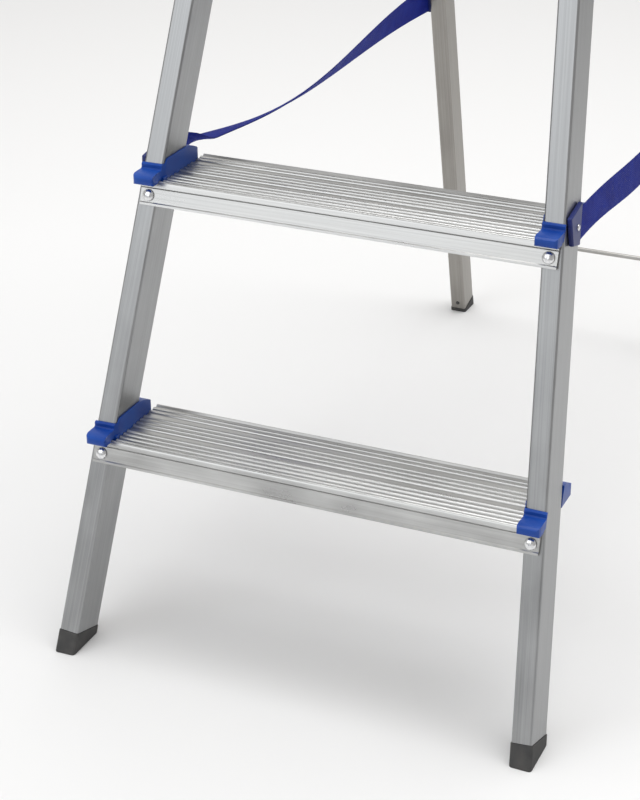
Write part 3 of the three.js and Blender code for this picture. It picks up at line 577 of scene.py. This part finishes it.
def make_pins(looks):
    """Platform pivot pins with a rounded spacing collar."""
    for side, sign in SIDES.items():
        node = f"platform_pin_{side}"
        low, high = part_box(node)
        middle = (low + high) / 2
        half = (high.x - low.x) / 2
        collar_start, collar_end = -half + 10.3 * MM, half - 7 * MM
        pin, collar, edge = 4 * MM, 7 * MM, 0.6 * MM
        profile = [
            (pin - edge, -half),
            (pin, -half + edge),
            (pin, collar_start),
            (collar - edge, collar_start),
            (collar, collar_start + edge),
            (collar, collar_end - edge),
            (collar - edge, collar_end),
            (pin, collar_end),
            (pin, half - edge),
            (pin - edge, half),
        ]
        turn = Matrix.Rotation(sign * math.pi / 2, 3, "Y")
        piece = turned(f"{node}_turned", profile, turn, middle, looks["zinc"])
        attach(piece, "front_frame")
        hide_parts(node)


def make_braces(looks):
    for name in ("lower", "upper"):
        node = f"rear_brace_{name}"
        low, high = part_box(node)
        radius = 2.5 * MM
        half = (high.x - low.x) / 2
        edge = 0.4 * MM
        profile = [(radius - edge, -half), (radius, -half + edge)]
        profile += [(radius, half - edge), (radius - edge, half)]
        turn = Matrix.Rotation(math.pi / 2, 3, "Y")
        piece = turned(f"{node}_rod", profile, turn, (low + high) / 2, looks["brace"], sides=24)
        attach(piece, "rear_frame")
        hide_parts(node)


# ---- Straps -------------------------------------------------------------------------------------


def strap_anchor(side, end):
    """Where the middle of a strap leaves its clip: at the slanted wide edge, near the outer face."""
    low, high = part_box(f"strap_plate_{end}_{side}")
    middle = (low + high) / 2
    slope = FRONT_SLOPE if end == "front" else REAR_SLOPE
    slant = abs(slope) * (high.z - low.z) / 2
    y = high.y - slant + STRAP_GAP if end == "front" else low.y + slant - STRAP_GAP
    return Vector((middle.x + SIDES[side] * STRAP_OUTWARD, y, middle.z))


def eased(value):
    t = min(max(value, 0), 1)
    return t * t * (3 - 2 * t)


def strap_lean(sign, t):
    """Inward lean of a strap's width. Past the collar the slack left strap rolls over."""
    taut = math.atan(FRONT_TAPER) * (1 - t)
    if sign > 0:
        return taut
    slack = eased((t - ROLL_START) / ROLL_LENGTH)
    return taut * (1 - slack) + LEFT_STRAP_LEAN * (1 - t) * slack


def strap_slant(t):
    """Backward run per unit of the strap's width: its ends are cut parallel to their uprights."""
    cut = 0.04
    return FRONT_SLOPE * max(0, 1 - t / cut) + REAR_SLOPE * max(0, 1 - (1 - t) / cut)


def strap_point(start, end, t):
    """A point on the strap's middle line, which bows outwards past the collar and sags."""
    point = start.lerp(end, t)
    point.x = start.x + (end.x - start.x) * t**STRAP_BOW
    point.z -= STRAP_SAG * math.sin(math.pi * t**SAG_EARLY) ** SAG_ROUND
    return point


def strap_half_width(t):
    """Half the strap's width, which the front clip gathers a little."""
    return STRAP_WIDTH / 2 * (1 - STRAP_GATHER * (1 - eased(t / GATHER_END)))


def strap_ring(point, along, lean, slant, half_width, sign):
    """Closed outline of the webbing's cross-section, thinner at its two woven edges."""
    inward = Vector((-sign, 0, 0))
    upward = Vector((0, 0, 1))
    width = math.cos(lean) * upward + math.sin(lean) * inward
    width = (width - along * width.dot(along)).normalized()
    normal = along.cross(width).normalized()
    cut = width + along * slant
    across = 8
    ring = []
    for face in (1, -1):
        for i in range(across + 1):
            u = face * (1 - 2 * i / across)
            thin = 1 - WOVEN_EDGE_THINNING * abs(u) ** 8
            ring.append(point + cut * u * half_width + normal * face * thin * STRAP_THICKNESS / 2)
    return ring


def lay_strap(work, rings):
    """Skins the rings and writes length-and-width coordinates in metres as the UV map."""
    rows = skin(work, rings)
    layer = work.loops.layers.uv.new("UVMap")
    distance = {}
    run = 0.0
    for i, row in enumerate(rows):
        middle = sum((v.co for v in row), Vector()) / len(row)
        if i:
            run += (middle - before).length
        before = middle
        across = (len(row) // 2) - 1
        for k, vert in enumerate(row):
            place = k if k <= across else len(row) - 1 - k
            distance[vert] = (run, STRAP_WIDTH * place / across)
    for face in work.faces:
        for loop in face.loops:
            loop[layer].uv = distance[loop.vert]
    return run


def make_straps(looks):
    steps = 80
    nudge = 0.5 / steps
    for side, sign in SIDES.items():
        start, end = strap_anchor(side, "front"), strap_anchor(side, "rear")
        rings = []
        for i in range(steps + 1):
            t = i / steps
            before = strap_point(start, end, max(t - nudge, 0))
            after = strap_point(start, end, min(t + nudge, 1))
            along = (after - before).normalized()
            middle, lean, slant = strap_point(start, end, t), strap_lean(sign, t), strap_slant(t)
            rings.append(strap_ring(middle, along, lean, slant, strap_half_width(t), sign))
        work = bmesh.new()
        length = lay_strap(work, rings)
        piece = finish_piece(f"webbing_strap_{side}", work, looks["webbing"])
        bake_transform(piece)
        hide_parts(f"strap_{side}")


# ---- Assembly -----------------------------------------------------------------------------------


def main():
    bpy.context.scene.view_settings.view_transform = "Standard"
    make_camera()
    make_world()
    make_floor()
    softbox("key", (-1.4, -3.2, 2.1), 2.8, 36, (0.94, 0.97, 1.0))
    softbox("top", (0.3, 0.2, 3.4), 2.6, 84, (1.0, 1.0, 1.0))
    softbox("back", (-1.6, 2.8, 2.0), 2.6, 8, (1.0, 0.99, 0.97))
    looks = make_materials()
    dress_frame(looks)
    make_rivets(looks)
    make_hoop(looks)
    make_bar(looks)
    make_caps(looks)
    make_pins(looks)
    make_braces(looks)
    make_straps(looks)


main()
